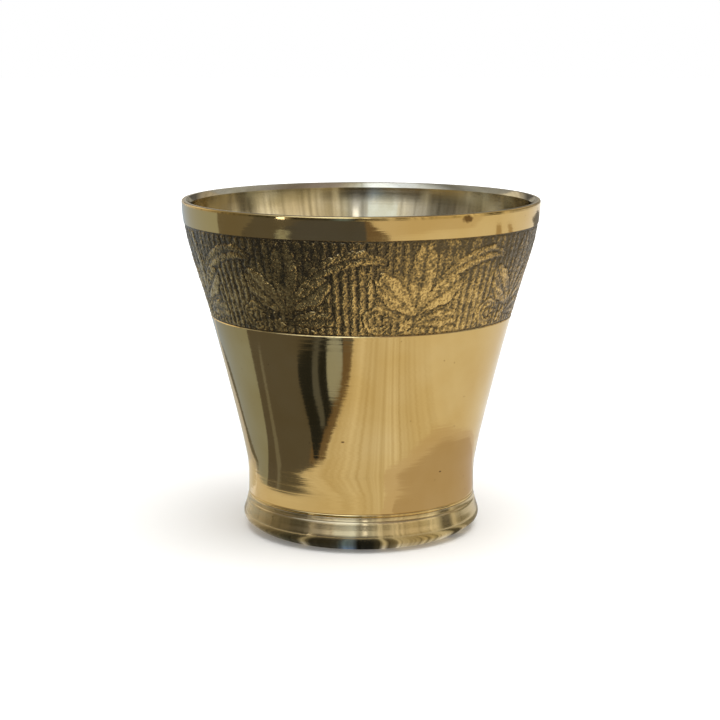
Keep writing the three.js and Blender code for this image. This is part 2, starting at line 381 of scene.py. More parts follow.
# The leaves of a spray. Each has points along its spine: how far each lies across from the heart of the
# spray, how far up from the strip's edge, and the leaf's half width there. Then come its number of lobes,
# and how much of the full rise it has.
LEAVES = [
    ([(-0.2, 5.0, 0.8), (0.2, 8.5, 2.2), (0.7, 12.5, 3.0), (1.0, 16.2, 2.9), (1.0, 19.4, 1.6)], 5, 0.8),
    ([(-0.8, 5.0, 0.7), (-3.2, 7.4, 2.3), (-5.8, 9.8, 3.1), (-7.8, 12.4, 1.9)], 4, 1.0),
    ([(0.8, 5.2, 0.7), (3.4, 7.5, 2.1), (6.4, 9.3, 2.9), (8.6, 11.0, 2.2)], 3, 1.0),
    ([(4.6, 11.8, 0.6), (7.6, 13.8, 1.4), (10.6, 15.4, 1.8), (14.2, 16.8, 1.9), (18.2, 17.4, 1.7),
      (21.8, 16.4, 0.8)], 9, 0.9),
    ([(0.9, 2.6, 0.6), (3.4, 3.2, 1.5), (6.4, 3.4, 2.1), (9.6, 3.6, 1.7)], 3, 0.85),
    ([(-4.4, 4.4, 0.6), (-6.6, 5.2, 0.9), (-8.9, 5.7, 1.2), (-10.8, 4.3, 1.3), (-10.4, 2.1, 1.2),
      (-8.2, 1.2, 1.1), (-6.5, 2.3, 0.8)], 6, 1.0),
]
FLOWER_CENTRE = (-2.4, 1.9)
FLOWER_RADIUS, FLOWER_PETALS, PETAL_SWING = 1.8, 5, 0.18
FLOWER_HEIGHT, HEART_RADIUS, HEART_DEPTH = 0.9, 0.45, 0.7
LOBE_MEAN, LOBE_SWING = 0.9, 0.12
SPINE_WIDTH, SPINE_DEPTH = 0.34, 0.5
VEIN_PITCH, VEIN_SLANT, VEIN_HEIGHT = 1.5, 0.8, 0.22
SMOOTH_HALF_HEIGHT = 0.14
FACE_HEIGHT = 0.86


def through(points, steps):
    """A smooth curve through points, with a number of steps between each pair."""
    held = [points[0], *points, points[-1]]
    curve = []
    for a, b, c, d in zip(held, held[1:], held[2:], held[3:]):
        for t in np.linspace(0, 1, steps, endpoint=False):
            curve.append(tuple(
                0.5 * (2 * b[k] + (c[k] - a[k]) * t + (2 * a[k] - 5 * b[k] + 4 * c[k] - d[k]) * t ** 2
                       + (3 * b[k] - a[k] - 3 * c[k] + d[k]) * t ** 3)
                for k in range(len(b))))
    return [*curve, points[-1]]


def smooth_step(low, high, x):
    t = np.clip((x - low) / (high - low), 0, 1)
    return t * t * (3 - 2 * t)


def leaf(u, w, spine, lobes):
    """How deep each point lies inside a lobed leaf, and the leaf's modelled face, from 0 to 1."""
    curve = np.array(through(spine, 8))
    forward = np.gradient(curve[:, :2], axis=0)
    forward /= np.hypot(forward[:, 0], forward[:, 1])[:, None]
    along = np.linspace(0, 1, len(curve))
    width = curve[:, 2] * (LOBE_MEAN + LOBE_SWING * np.cos(math.tau * lobes * along))
    du, dw = u[..., None] - curve[:, 0], w[..., None] - curve[:, 1]
    inside_by = width - np.hypot(du, dw)
    nearest = inside_by.argmax(axis=-1)[..., None]
    depth = np.take_along_axis(inside_by, nearest, axis=-1)[..., 0]
    across = np.take_along_axis(du * forward[:, 1] - dw * forward[:, 0], nearest, axis=-1)[..., 0]
    length = np.hypot(*np.diff(curve[:, :2], axis=0).T).sum()
    run = length * along[nearest[..., 0]]
    vein = VEIN_HEIGHT * np.cos(math.tau * (run - VEIN_SLANT * np.abs(across)) / VEIN_PITCH)
    spine_line = SPINE_DEPTH * np.exp(-((across / SPINE_WIDTH) ** 2))
    halves = np.where(across > 0, SMOOTH_HALF_HEIGHT, vein) * smooth_step(0.3, 0.9, np.abs(across))
    return depth, FACE_HEIGHT - spine_line + halves


def flower(u, w):
    """A little round flower with a hollow heart, in the same form as a leaf."""
    reach = np.hypot(u - FLOWER_CENTRE[0], w - FLOWER_CENTRE[1])
    swirl = np.arctan2(w - FLOWER_CENTRE[1], u - FLOWER_CENTRE[0])
    petals = FLOWER_RADIUS * (1 - PETAL_SWING + PETAL_SWING * np.cos(FLOWER_PETALS * swirl))
    return petals - reach, FLOWER_HEIGHT - HEART_DEPTH * np.exp(-((reach / HEART_RADIUS) ** 2))


def ornament(u, w):
    """The relief of the frieze at points across and up one bay, in millimetres over its ground."""
    deepest = np.full(u.shape, -BAY_WIDTH)
    raised = np.zeros(u.shape)
    for turn_over in (-BAY_WIDTH, 0, BAY_WIDTH):
        x = u - SPRAY - turn_over
        shapes = [(*leaf(x, w, spine, lobes), share) for spine, lobes, share in LEAVES]
        for depth, face, share in [(*flower(x, w), 1.0), *shapes]:
            body = LEAF_RISE * share * face * smooth_step(-0.1, 0.4, depth)
            raised = np.where(depth > np.maximum(deepest, 0), body, raised)
            deepest = np.maximum(deepest, depth)
    reed = np.sqrt(0.5 + 0.5 * np.cos(math.tau * REEDS_PER_BAY * u / BAY_WIDTH))
    faded = smooth_step(FADE_START, FADE_END, w)
    ground = REED_RISE * reed * smooth_step(0.0, REED_GAP, -deepest) * (1 - REED_FADE * faded)
    edge = np.minimum(w, STRIP_HEIGHT - w)
    return np.maximum(raised, ground) * smooth_step(0.0, BORDER_SLOPE, edge - BORDER)


# The casting is sandy and its leaves are stippled with the point of a punch, all over and by eye.
SAND = 0.018
PUNCH_MARKS = 900
PUNCH_RADIUS, PUNCH_DEPTH = 0.26, 0.12
PUNCH_MARGIN = 0.6
SAND_WAVES = 60
FEWEST_TURNS, MOST_TURNS = 8, 38
STEEPEST_RISE = 8


def cast_grain(u, w):
    """The sandy unevenness of the casting: a few waves that close on themselves round the ring."""
    rng = np.random.default_rng(7)
    grain = np.zeros(u.shape)
    for _ in range(SAND_WAVES):
        turns = rng.integers(FEWEST_TURNS, MOST_TURNS)
        rise = rng.uniform(-STEEPEST_RISE, STEEPEST_RISE)
        grain += np.sin(math.tau * turns * u / BAY_WIDTH + rise * w + rng.uniform(0, math.tau))
    return grain / grain.std()


def punch_marks(u, w):
    """How deep the small round marks of the punch lie, in millimetres."""
    rng = np.random.default_rng(23)
    marks = np.zeros(u.shape)
    for _ in range(PUNCH_MARKS):
        across = (u - rng.uniform(0, BAY_WIDTH) + BAY_WIDTH / 2) % BAY_WIDTH - BAY_WIDTH / 2
        gap = np.hypot(across, w - rng.uniform(PUNCH_MARGIN, STRIP_HEIGHT - PUNCH_MARGIN))
        marks = np.maximum(marks, PUNCH_DEPTH * np.exp(-((gap / PUNCH_RADIUS) ** 2)))
    return marks


def faces_between(spans, loop):
    """The faces that join closed loops of points, a number of points to a loop, one loop to the next."""
    return [
        (i * loop + j, (i + 1) * loop + j, (i + 1) * loop + (j + 1) % loop, i * loop + (j + 1) % loop)
        for i in range(spans) for j in range(loop)
    ]


def make_bay():
    """One bay of the strip as a sheet: its carved face, its edges and its back."""
    share = np.linspace(0, 1, BAY_COLUMNS + 1)
    heights = np.linspace(FRIEZE_BOTTOM, FRIEZE_TOP, BAY_ROWS + 1)
    u, z = np.meshgrid(share * BAY_WIDTH, heights, indexing="ij")
    relief = ornament(u, z - FRIEZE_BOTTOM)
    relief = relief + SAND * cast_grain(u, z - FRIEZE_BOTTOM) - punch_marks(u, z - FRIEZE_BOTTOM)
    relief = np.maximum(relief, -SAND)
    wall_radius = np.array([outside(h) for h in heights])
    face_radius = wall_radius[None, :] - GROUND_DEPTH + relief
    back_radius = np.array([seat(FRIEZE_TOP), seat(FRIEZE_BOTTOM)])
    radius = np.hstack([face_radius, np.tile(back_radius, (BAY_COLUMNS + 1, 1))])
    height = np.hstack([z, np.tile([FRIEZE_TOP, FRIEZE_BOTTOM], (BAY_COLUMNS + 1, 1))])
    marks = np.hstack([relief / LEAF_RISE, np.zeros((BAY_COLUMNS + 1, 2))])
    angle = math.tau / BAYS * share[:, None]
    x, y = radius * np.sin(angle), -radius * np.cos(angle)
    loop = BAY_ROWS + 3
    points = np.stack([x, y, height], axis=-1).reshape(-1, 3) * MM
    mesh = bpy.data.meshes.new("frieze bay")
    mesh.from_pydata(points.tolist(), [], faces_between(BAY_COLUMNS, loop))
    mesh.attributes.new("relief", "FLOAT", "POINT").data.foreach_set("value", marks.ravel())
    return mesh


def make_ring_of_bays():
    """Geometry nodes that set copies of one bay round the Z axis and weld them into a ring."""
    tree, inputs = new_geometry_tree("ring of bays", {
        "Bay": "NodeSocketGeometry", "Bays": "NodeSocketInt", "Metal": "NodeSocketMaterial"}, "Ring")
    given = add_node(tree, "NodeGroupInput")
    spots = add_node(tree, "GeometryNodePoints", {"Count": given.outputs["Bays"]})
    index = add_node(tree, "GeometryNodeInputIndex")
    share = add_node(tree, "ShaderNodeMath", {0: index, 1: given.outputs["Bays"]}, operation="DIVIDE")
    angle = add_node(tree, "ShaderNodeMath", {0: share, 1: math.tau}, operation="MULTIPLY")
    turned = add_node(tree, "ShaderNodeCombineXYZ", {"Z": angle})
    bays = add_node(tree, "GeometryNodeInstanceOnPoints", {
        "Points": spots, "Instance": given.outputs["Bay"], "Rotation": turned})
    whole = add_node(tree, "GeometryNodeRealizeInstances", {"Geometry": bays})
    weld = add_node(tree, "GeometryNodeMergeByDistance", {"Geometry": whole, "Distance": 2e-6})
    smooth = add_node(tree, "GeometryNodeSetShadeSmooth", {"Geometry": weld})
    finish = add_node(tree, "GeometryNodeSetMaterial", {
        "Geometry": smooth, "Material": given.outputs["Metal"]})
    add_node(tree, "NodeGroupOutput", {"Ring": finish})
    return tree, inputs


# Antiqued cast brass: blackened with liver of sulphur, then rubbed. Its high parts shine a warm yellow,
# its hollows and its upper part stay browner, in patches, and its right side is darkened with painted shade.
# It has the sparkle of a rough casting that is polished over.
GRAIN_SIZE, GRAIN_DEPTH = 0.45, 0.2
PATINA_SIZE = 2.6
PATINA_PATCHES = 1.1
RUBBED_SHARE = 0.88
LEAST_SPECKLE, MOST_SPECKLE = -0.2, 0.4
UPPER_START, UPPER_END, UPPER_PATINA = 57.0, 68.0, 0.22
# The darkening of the strip's right side is painted shade.
RIGHT_START, RIGHT_END, RIGHT_PAINTED_SHADE = 24.0, 36.0, 0.4


def antiqued_brass():
    material, tree, shader = new_metal("antiqued cast brass", "#8A7248", 0.3)
    relief = add_node(tree, "ShaderNodeAttribute", attribute_name="relief")
    grain = patches(tree, GRAIN_SIZE, 1.0)
    cloud = patches(tree, PATINA_SIZE, 2.0)
    speckle = add_node(tree, "ShaderNodeMapRange", {
        "Value": grain, "From Min": 0.35, "From Max": 0.65,
        "To Min": LEAST_SPECKLE, "To Max": MOST_SPECKLE})
    rubbed = add_node(tree, "ShaderNodeMath", {
        0: relief.outputs["Fac"], 1: RUBBED_SHARE, 2: speckle}, operation="MULTIPLY_ADD")
    clouded = add_node(tree, "ShaderNodeMath", {
        0: cloud, 1: PATINA_PATCHES, 2: rubbed}, operation="MULTIPLY_ADD")
    place = add_node(tree, "ShaderNodeTexCoord")
    axes = add_node(tree, "ShaderNodeSeparateXYZ", {0: place.outputs["Object"]})
    upper = add_node(tree, "ShaderNodeMapRange", {
        "Value": axes.outputs["Z"], "From Min": UPPER_START * MM, "From Max": UPPER_END * MM,
        "To Min": PATINA_PATCHES / 2, "To Max": PATINA_PATCHES / 2 + UPPER_PATINA})
    # Painted shade: the strip's right side is darkened in its colour, more the farther right it lies.
    right = add_node(tree, "ShaderNodeMapRange", {
        "Value": axes.outputs["X"], "From Min": RIGHT_START * MM, "From Max": RIGHT_END * MM,
        "To Min": 0.0, "To Max": RIGHT_PAINTED_SHADE})
    patina_and_painted_shade = add_node(tree, "ShaderNodeMath", {0: upper, 1: right})
    shifted = add_node(tree, "ShaderNodeMath", {0: clouded, 1: patina_and_painted_shade}, operation="SUBTRACT")
    colour = add_node(tree, "ShaderNodeValToRGB", {"Fac": shifted}, stops=[
        (0.0, "#5A4E38"), (0.35, "#877147"), (0.7, "#AE9058"), (1.0, "#D8B672")])
    gloss = add_node(tree, "ShaderNodeMapRange", {
        "Value": shifted, "From Min": 0.1, "From Max": 0.9, "To Min": 0.26, "To Max": 0.13})
    bump = add_node(tree, "ShaderNodeBump", {
        "Strength": 1.0, "Distance": GRAIN_DEPTH * MM, "Height": grain})
    feed(tree, shader, {"Base Color": colour, "Roughness": gloss, "Normal": bump})
    return material


frieze = plain_mesh(
    new_object("frieze", make_bay()), make_ring_of_bays(), {"Bays": BAYS, "Metal": antiqued_brass()})
dress(frieze, "frieze_strip")


# The strip's seam: its two ends meet at the back of the tumbler in a butt joint that is run full of soft
# solder and filed level, so that it shows as a thin grey line with a ragged edge.
SEAM_WIDTH, SEAM_RAGGED = 0.6, 0.12
SEAM_ROWS, SEAM_COLUMNS = 60, 6
SEAM_PROUD, SEAM_BELLY = 0.03, 0.04
MOTTLE_SIZE = 1.2


def soft_solder():
    material, tree, shader = new_metal("filed soft solder", "#A5A297", 0.42)
    mottle = patches(tree, MOTTLE_SIZE)
    colour = add_node(tree, "ShaderNodeValToRGB", {"Fac": mottle},
                      stops=[(0.3, "#858175"), (0.7, "#B9B6AA")])
    bump = add_node(tree, "ShaderNodeBump", {"Strength": 0.5, "Distance": 0.05 * MM, "Height": mottle})
    feed(tree, shader, {"Base Color": colour, "Normal": bump})
    return material


SOFT_SOLDER = soft_solder()


def make_seam():
    """A thin bar of solder that follows the wall's slope between the strip's two ends."""
    rng = np.random.default_rng(11)
    points = []
    for height in np.linspace(FRIEZE_BOTTOM, FRIEZE_TOP, SEAM_ROWS + 1):
        ragged = 1 + SEAM_RAGGED * rng.uniform(-1, 1)
        face = outside(height) - STRIP_INSET + SEAM_PROUD * rng.uniform(0.6, 1)
        for x in np.linspace(0.5, -0.5, SEAM_COLUMNS) * SEAM_WIDTH * ragged:
            points.append((x, face + SEAM_BELLY * math.cos(math.pi * x / SEAM_WIDTH), height))
        points.append((-SEAM_WIDTH / 2, seat(height), height))
        points.append((SEAM_WIDTH / 2, seat(height), height))
    loop = SEAM_COLUMNS + 2
    faces = faces_between(SEAM_ROWS, loop)
    faces.append(tuple(range(loop)))
    faces.append(tuple(SEAM_ROWS * loop + j for j in reversed(range(loop))))
    mesh = bpy.data.meshes.new("strip seam")
    mesh.from_pydata((np.array(points) * MM).tolist(), [], faces)
    mesh.materials.append(SOFT_SOLDER)
    mesh.shade_smooth()
    mesh.set_sharp_from_angle(angle=SHARP_EDGE)
    return new_object("strip_seam", mesh)


strip_seam = make_seam()
dress(strip_seam, "strip_seam_solder")


# The foot ring: cast and turned brass, a bead that swells out from a narrow flat land, with a spigot
# that stands up inside the wall, a ledge for the floor disc, and one fine groove under its shoulder.
LAND_RADIUS, LAND_WIDTH, LAND_CHAMFER = 23.3, 1.3, 0.5
BEAD_UNDER_RADIUS, BEAD_UNDER_HEIGHT = 25.2, 0.9
BEAD_BELLY_RADIUS, BEAD_BELLY_HEIGHT = 26.9, 2.2
BEAD_RADIUS, BEAD_HEIGHT = 27.3, 3.6
BEAD_SHOULDER_RADIUS, BEAD_SHOULDER_HEIGHT = 26.8, 5.4
FOOT_GROOVE_HEIGHT = 7.0
BEAD_STEPS = 8
SPIGOT = 1.3

foot_bore = LAND_RADIUS - LAND_WIDTH - LAND_CHAMFER
bead = through([
    (LAND_RADIUS, 0.0),
    (BEAD_UNDER_RADIUS, BEAD_UNDER_HEIGHT),
    (BEAD_BELLY_RADIUS, BEAD_BELLY_HEIGHT),
    (BEAD_RADIUS, BEAD_HEIGHT),
    (BEAD_SHOULDER_RADIUS, BEAD_SHOULDER_HEIGHT),
    (JOINT_RADIUS, FOOT_HEIGHT - JOINT_CHAMFER),
], BEAD_STEPS)
below_groove = [p for p in bead if p[1] < FOOT_GROOVE_HEIGHT - GROOVE_WIDTH / 2]
above_foot_groove = [p for p in bead if p[1] > FOOT_GROOVE_HEIGHT + GROOVE_WIDTH / 2]
groove_radius = np.interp(FOOT_GROOVE_HEIGHT, [p[1] for p in bead], [p[0] for p in bead])
spigot_inside = inside(FOOT_HEIGHT) - SPIGOT
ring_profile = [
    (LAND_RADIUS - LAND_WIDTH, 0.0),
    *below_groove,
    *groove(groove_radius, FOOT_GROOVE_HEIGHT),
    *above_foot_groove,
    (JOINT_RADIUS - JOINT_CHAMFER, FOOT_HEIGHT),
    (inside(FOOT_HEIGHT), FOOT_HEIGHT),
    (inside(floor_top), floor_top),
    (spigot_inside, floor_top),
    (spigot_inside, FOOT_HEIGHT),
    (foot_bore, FOOT_HEIGHT),
    (foot_bore, LAND_CHAMFER),
    (LAND_RADIUS - LAND_WIDTH, 0.0),
]

# The same brass, scoured each time that the tumbler is washed: it is paler and less sharp a mirror, and
# its shine is drawn out further up and down.
SCOURED_BRASS = polished_brass("scoured turned brass", ("#B7A176", "#C3AF82", "#CDBC94"), (0.13, 0.18), 0.95)
foot = turn("foot", ring_profile, SCOURED_BRASS)
dress(foot, "foot_ring")


# The floor disc: blanked from rolled brass sheet and dropped on the ring's ledge. Nobody polishes its
# underside, so it stays dull, with faint rings from the lathe and brown handling stains. A wave texture
# of scale 1 has a ring every tau / 20 metres.
RING_SPACING, RING_SHARE = 3.95, 0.25
WAVE_SPACING = math.tau / 20
HANDLING_STAIN_SIZE = 9.0


def dull_brass():
    material, tree, shader = new_metal("dull rolled brass", "#A68C5A", 0.38)
    place = add_node(tree, "ShaderNodeTexCoord")
    rings = add_node(tree, "ShaderNodeTexWave", {
        "Vector": place.outputs["Object"], "Scale": WAVE_SPACING / (RING_SPACING * MM),
        "Distortion": 1.5, "Detail": 3.0}, wave_type="RINGS", rings_direction="Z")
    stains = patches(tree, HANDLING_STAIN_SIZE)
    mixed = add_node(tree, "ShaderNodeMath", {
        0: rings.outputs["Fac"], 1: RING_SHARE, 2: stains}, operation="MULTIPLY_ADD")
    colour = add_node(tree, "ShaderNodeValToRGB", {"Fac": mixed},
                      stops=[(0.3, "#7C6539"), (0.6, "#A68C5A"), (0.85, "#B9A06C")])
    bump = add_node(tree, "ShaderNodeBump", {
        "Strength": 0.3, "Distance": 0.02 * MM, "Height": rings.outputs["Fac"]})
    feed(tree, shader, {"Base Color": colour, "Normal": bump})
    return material


floor_profile = [
    (0.0, FOOT_HEIGHT),
    (foot_bore, FOOT_HEIGHT),
    (spigot_inside, FOOT_HEIGHT),
    (spigot_inside, floor_top),
    (0.0, floor_top),
]
floor_disc = turn("floor", floor_profile, dull_brass())
dress(floor_disc, "floor_disc")


# The solder that holds the floor: a hollow fillet in the corner above it, which the lining covers, and
# a smaller one below it in the foot's bore, left as it ran.
SEAM_FILLET, SEAM_STEPS = 2.5, 10
BASE_FILLET, BASE_STEPS = 1.2, 8

seam_top = floor_top + SEAM_FILLET
seam_centre = (inside(seam_top) - SEAM_FILLET, seam_top)
seam_profile = [
    (seam_centre[0], floor_top),
    (inside(floor_top), floor_top),
    *arc(seam_centre, SEAM_FILLET, SEAM_FILLET, 0, -90, SEAM_STEPS),
]
seam = turn("seam_solder", seam_profile, SOFT_SOLDER)
dress(seam, "seam_solder")

base_centre = (foot_bore - BASE_FILLET, FOOT_HEIGHT - BASE_FILLET)
base_profile = [
    *arc(base_centre, BASE_FILLET, BASE_FILLET, 90, 0, BASE_STEPS),
    (foot_bore, FOOT_HEIGHT),
    (base_centre[0], FOOT_HEIGHT),
]
base = turn("base_solder", base_profile, SOFT_SOLDER)
dress(base, "base_solder")


# The lining: tin wiped hot over the inside, from the floor up over the lip's bevel, so that food never
# touches the brass.
LINING, LINING_ROUND = 0.3, 0.12
WIPE_SIZE = 7.0
LINING_LINES, LINING_WANDER = 0.4, 14.0


# Wiped tin, worn with use: a soft grey mirror with a warm cast from the brass under it, fine level
# lines from the lathe and cloudy patches where the wiping cloth left it thicker.
def wiped_tin():
    material, tree, shader = new_metal("wiped tin", "#C2B595", 0.2)
    cloud = patches(tree, WIPE_SIZE)
    colour = add_node(tree, "ShaderNodeValToRGB", {"Fac": cloud},
                      stops=[(0.3, "#B7A883"), (0.55, "#C4B797"), (0.8, "#CFC5AA")])
    lines = turning_lines(tree, LINING_LINES, LINING_WANDER)
    gloss = add_node(tree, "ShaderNodeMapRange", {
        "Value": lines, "From Min": 0.3, "From Max": 0.7, "To Min": 0.1, "To Max": 0.15})
    bump = add_node(tree, "ShaderNodeBump", {"Strength": 0.35, "Distance": 0.006 * MM, "Height": lines})
    feed(tree, shader, {"Base Color": colour, "Roughness": gloss, "Normal": bump})
    draw_out(tree, shader, 0.9)
    return material


def lined(height):
    """The radius of the lining's inside."""
    return inside(height) - LINING


bevel_bottom = HEIGHT - LIP_BEVEL_HEIGHT
lining_profile = [
    (0.0, floor_top),
    *arc(seam_centre, SEAM_FILLET, SEAM_FILLET, -90, 0, SEAM_STEPS),
    *up_the_wall(inside, seam_top, bevel_bottom)[1:],
    (crest_inside, HEIGHT),
    (crest_inside - LINING + LINING_ROUND, HEIGHT),
    (crest_inside - LINING, HEIGHT - LINING_ROUND),
    *up_the_wall(lined, seam_top, bevel_bottom)[::-1],
    *arc(seam_centre, SEAM_FILLET - LINING, SEAM_FILLET - LINING, 0, -90, SEAM_STEPS)[1:],
    (0.0, floor_top + LINING),
]
lining = turn("lining", lining_profile, wiped_tin())
dress(lining, "tin_lining")


# The stage: a white floor and soft light from above. Polished brass shows what lies round it, so plain
# cards lie on the floor and on low blocks, walls stand all round, and a few cards hang before them. The
# cards and walls are seen only in the brass, and only from their front.
FLOOR_HALF = 3.0
FLOOR_COLOUR = "#F2F1EE"
FLOOR_NEAR, FLOOR_NEAR_GLOW = 0.12, 0.1
FLOOR_FAR, FLOOR_FAR_GLOW = 0.7, 0.7
CARD_LIFT = 0.02
LOOP_STEPS = 8


def stage_sheet(name, points, material, faces=None):
    """A sheet through points in metres, in one face or in the faces given."""
    mesh = bpy.data.meshes.new(name)
    mesh.from_pydata(points, [], faces or [tuple(range(len(points)))])
    mesh.materials.append(material)
    sheet = new_object(name, mesh)
    return sheet


def show_in_reflections_only(card):
    """Hides a card from the camera and from the light, so that only the metal shows it."""
    card.visible_camera = False
    card.visible_diffuse = False
    card.visible_shadow = False
    card.visible_transmission = False
    card.visible_volume_scatter = False


def bare_material(name):
    """A material with only its output in its node tree."""
    material = bpy.data.materials.new(name)
    material.use_nodes = True
    tree = material.node_tree
    tree.nodes.remove(tree.nodes["Principled BSDF"])
    return material, tree


def new_glow(name, colour, strength=1.0):
    """A card's material: it shows its colour under any light, but on its front only."""
    material, tree = bare_material(name)
    glow = add_node(tree, "ShaderNodeEmission", {"Color": linear(colour), "Strength": strength})
    side = add_node(tree, "ShaderNodeNewGeometry")
    clear = add_node(tree, "ShaderNodeBsdfTransparent")
    shown = add_node(tree, "ShaderNodeMixShader", {0: side.outputs["Backfacing"], 1: glow, 2: clear})
    feed(tree, tree.nodes["Material Output"], {"Surface": shown})
    return material, tree, glow


def smooth_loop(points):
    """A smooth closed curve through points."""
    curve = through([*points[-2:], *points, *points[:2]], LOOP_STEPS)
    return curve[2 * LOOP_STEPS:-LOOP_STEPS - 1]


def oval(centre, across, along, turned):
    """Points on an ellipse in the floor's plane, turned by an angle in degrees."""
    bearing = math.radians(turned)
    return [
        (centre[0] + across * math.cos(a) * math.cos(bearing) - along * math.sin(a) * math.sin(bearing),
         centre[1] + across * math.cos(a) * math.sin(bearing) + along * math.sin(a) * math.cos(bearing))
        for a in np.linspace(0, math.tau, 6 * LOOP_STEPS, endpoint=False)
    ]


layers = itertools.count(1)


def floor_card(name, outline, material, blocks=0.0):
    """Lays a card face up on the floor or on low blocks, on top of the cards that lie there already."""
    following = [*outline[1:], outline[0]]
    if sum(a[0] * b[1] - b[0] * a[1] for a, b in zip(outline, following)) < 0:
        outline = outline[::-1]
    lift = blocks + CARD_LIFT * next(layers)
    card = stage_sheet(name, [(x * MM, y * MM, lift * MM) for x, y in outline], material)
    show_in_reflections_only(card)


def white_floor():
    """White paper that takes the tumbler's shadow. Farther off it glows, up to the white of the backdrop."""
    material, tree = bare_material("white floor")
    paper = add_node(tree, "ShaderNodeBsdfDiffuse", {"Color": linear(FLOOR_COLOUR)})
    path = add_node(tree, "ShaderNodeLightPath")
    seen = add_node(tree, "ShaderNodeMath", {
        0: path.outputs["Is Camera Ray"], 1: path.outputs["Is Glossy Ray"]}, operation="MAXIMUM")
    place = add_node(tree, "ShaderNodeTexCoord")
    reach = add_node(tree, "ShaderNodeVectorMath", {0: place.outputs["Object"]}, operation="LENGTH")
    far = add_node(tree, "ShaderNodeMapRange", {
        "Value": reach.outputs["Value"], "From Min": FLOOR_NEAR, "From Max": FLOOR_FAR,
        "To Min": FLOOR_NEAR_GLOW, "To Max": FLOOR_FAR_GLOW})
    lift = add_node(tree, "ShaderNodeMath", {0: seen, 1: far}, operation="MULTIPLY")
    glow = add_node(tree, "ShaderNodeEmission", {"Strength": lift})
    both = add_node(tree, "ShaderNodeAddShader", {0: paper, 1: glow})
    feed(tree, tree.nodes["Material Output"], {"Surface": both})
    return material


stage_sheet("floor_stage", [
    (-FLOOR_HALF, -FLOOR_HALF, 0), (FLOOR_HALF, -FLOOR_HALF, 0),
    (FLOOR_HALF, FLOOR_HALF, 0), (-FLOOR_HALF, FLOOR_HALF, 0)], white_floor())


# Some cards and walls change their tone with the compass bearing, from the front to the right, in
# degrees. They are a shade brighter than the plain cards, and have fine streaks, upright on the walls.
STREAKS = 22.0
COMPASS_STRENGTH = 1.12


def compass_glow(name, tones, strength=COMPASS_STRENGTH, quickened=1.0):
    """A card's material whose tone goes round with the bearing, more than once round if quickened."""
    material, tree, glow = new_glow(name, "#C0C0C0", strength)
    place = add_node(tree, "ShaderNodeTexCoord")
    axes = add_node(tree, "ShaderNodeSeparateXYZ", {0: place.outputs["Object"]})
    away = add_node(tree, "ShaderNodeMath", {0: axes.outputs["Y"], 1: -1.0}, operation="MULTIPLY")
    bearing = add_node(tree, "ShaderNodeMath", {0: axes.outputs["X"], 1: away}, operation="ARCTAN2")
    share = add_node(tree, "ShaderNodeMapRange", {
        "Value": bearing, "From Min": -math.pi / quickened, "From Max": math.pi / quickened})
    colour = add_node(tree, "ShaderNodeValToRGB", {"Fac": share},
                      stops=[((degrees + 180) / 360, tone) for degrees, tone in tones])
    turned = add_node(tree, "ShaderNodeMath", {0: bearing, 1: STREAKS}, operation="MULTIPLY")
    streak = add_node(tree, "ShaderNodeTexNoise", {
        "W": turned, "Scale": 1.0, "Detail": 2.0}, noise_dimensions="1D")
    tone = add_node(tree, "ShaderNodeValToRGB", {"Fac": streak},
                    stops=[(0.3, "#B4B2AE"), (0.5, "#E6E6E6"), (0.7, "#FFFFFF")])
    mixed = add_node(tree, "ShaderNodeMix", {
        0: 1.0, 6: colour, 7: tone}, data_type="RGBA", blend_type="MULTIPLY")
    feed(tree, glow, {"Color": mixed.outputs[2]})
    return material


# The warm card has a faint grain that runs away from the tumbler and fades to the right.
WARM_WHITE = "#FBF9F4"
GRAIN_STRIPE, GRAIN_LENGTH, GRAIN_TURN = 2.4, 160.0, -19.0
GRAIN_FADES, GRAIN_GONE, GRAIN_LOSS = 40.0, 75.0, 0.8


def warm_card_material():
    material, tree, glow = new_glow("warm card", WARM_WHITE)
    place = add_node(tree, "ShaderNodeTexCoord")
    turned = add_node(tree, "ShaderNodeVectorRotate", {
        "Vector": place.outputs["Object"], "Angle": math.radians(GRAIN_TURN)}, rotation_type="Z_AXIS")
    along = add_node(tree, "ShaderNodeMapping", {
        "Vector": turned,
        "Scale": (1 / (GRAIN_STRIPE * MM), 1 / (GRAIN_LENGTH * MM), 1.0)})
    grain = add_node(tree, "ShaderNodeTexNoise", {"Vector": along, "Scale": 1.0, "Detail": 3.0})
    colour = add_node(tree, "ShaderNodeValToRGB", {"Fac": grain},
                      stops=[(0.33, "#DFD7C5"), (0.66, "#FFFEFC")])
    axes = add_node(tree, "ShaderNodeSeparateXYZ", {0: place.outputs["Object"]})
    fade = add_node(tree, "ShaderNodeMapRange", {
        "Value": axes.outputs["X"], "From Min": GRAIN_FADES * MM, "From Max": GRAIN_GONE * MM,
        "To Min": 0.0, "To Max": GRAIN_LOSS})
    mixed = add_node(tree, "ShaderNodeMix", {0: fade, 6: colour, 7: linear(WARM_WHITE)}, data_type="RGBA")
    feed(tree, glow, {"Color": mixed.outputs[2]})
    return material


floor_card("warm_card", [(-90, 30), (-90, -900), (900, -900), (900, 900), (60, 900), (55, 260), (30, 0)],
           warm_card_material())

CARD_COLOURS = {
    "dark": "#67676A", "black": "#2C3036", "mid": "#7F7E7C", "far dark": "#5A5E6C",
    "far cool": "#B6C4D2", "back": "#D6D4C8", "dim": "#A8A49C", "warm streak": "#C9BBA4",
    "far warm": "#EAE3D8", "outer dark": "#707B8C", "grey": "#656D7E", "slate": "#848992",
    "cool": "#A2AEB8", "pale": "#CCCAC0", "cream": "#E2DCC8", "blue": "#B2C2DC",
    "streak": "#737268", "brown": "#7E7164", "shade": "#D2C5B9", "half shade": "#E8DFD8",
}
CARDS = {name: new_glow(f"{name} card", colour)[0] for name, colour in CARD_COLOURS.items()}

